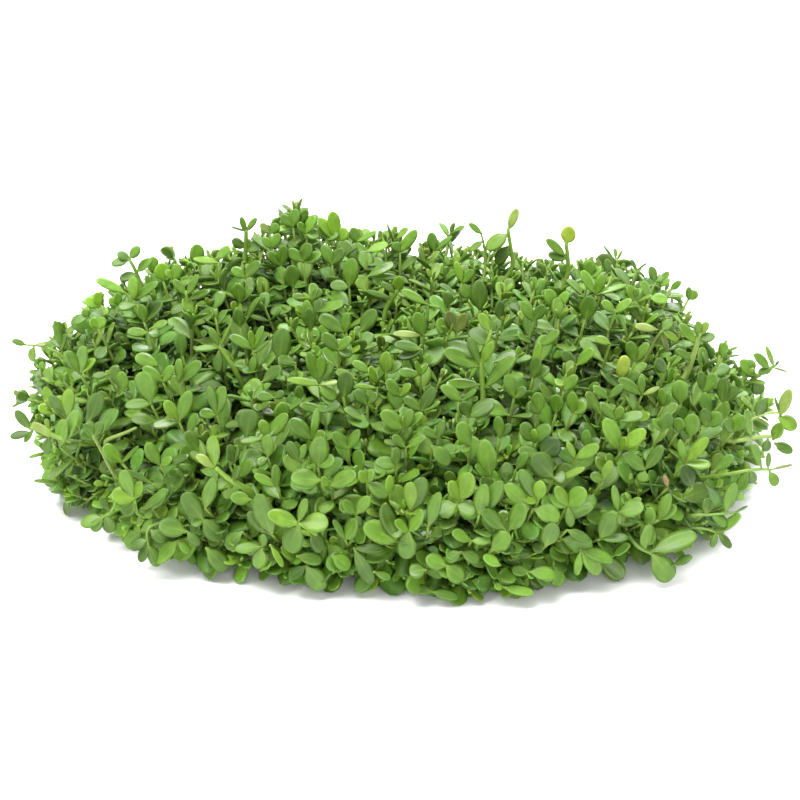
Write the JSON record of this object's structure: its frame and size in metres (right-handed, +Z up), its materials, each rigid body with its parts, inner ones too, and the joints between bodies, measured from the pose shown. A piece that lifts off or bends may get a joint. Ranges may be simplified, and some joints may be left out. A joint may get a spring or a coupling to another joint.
{
  "type": "dwarf baby tears",
  "caption": "Low oval mat of a carpeting aquarium plant with tiny round leaves, matted at the roots, that rests on its flat underside in tanks, bowls and terrariums.",
  "frame": {"origin": "on the flat underside of the root mat, under the middle of the plant", "axes": "+Z up, +X along the mat's longer side, and the side that the picture shows faces -Y"},
  "size_m": [0.0875, 0.0801, 0.0243],
  "materials": {
    "roots": "matte",
    "inner_leaves": "satin",
    "leaves": "satin",
    "young_leaves": "satin"
  },
  "bodies": {
    "root": {"root_mat": "roots", "leaf_cushion": "inner_leaves", "shoot_tall_pale": "young_leaves", "shoot_spoon_left": "young_leaves", "shoot_spoon_right": "young_leaves", "shoot_crown_peak": "young_leaves", "shoot_skyline_left": "young_leaves", "shoot_pale_stem": "young_leaves", "shoot_back_left": "young_leaves", "shoot_right_top": "young_leaves", "shoot_big_leaf": "young_leaves", "shoot_front_bright": "young_leaves", "runner_left": "young_leaves", "runner_left_back": "young_leaves", "runner_right": "young_leaves", "runner_right_low": "young_leaves", "runner_low_left": "young_leaves", "runner_front_left": "young_leaves", "runner_front_right": "young_leaves", "shoot_01": "leaves", "shoot_02": "leaves", "shoot_03": "leaves", "shoot_04": "young_leaves", "shoot_05": "leaves", "shoot_06": "leaves", "shoot_07": "leaves", "shoot_08": "young_leaves", "shoot_09": "leaves", "shoot_10": "leaves", "shoot_11": "leaves", "shoot_12": "young_leaves", "shoot_13": "leaves", "shoot_14": "leaves", "shoot_15": "leaves", "shoot_16": "young_leaves", "shoot_17": "leaves", "shoot_18": "leaves", "shoot_19": "leaves"}
  },
  "joints": []
}
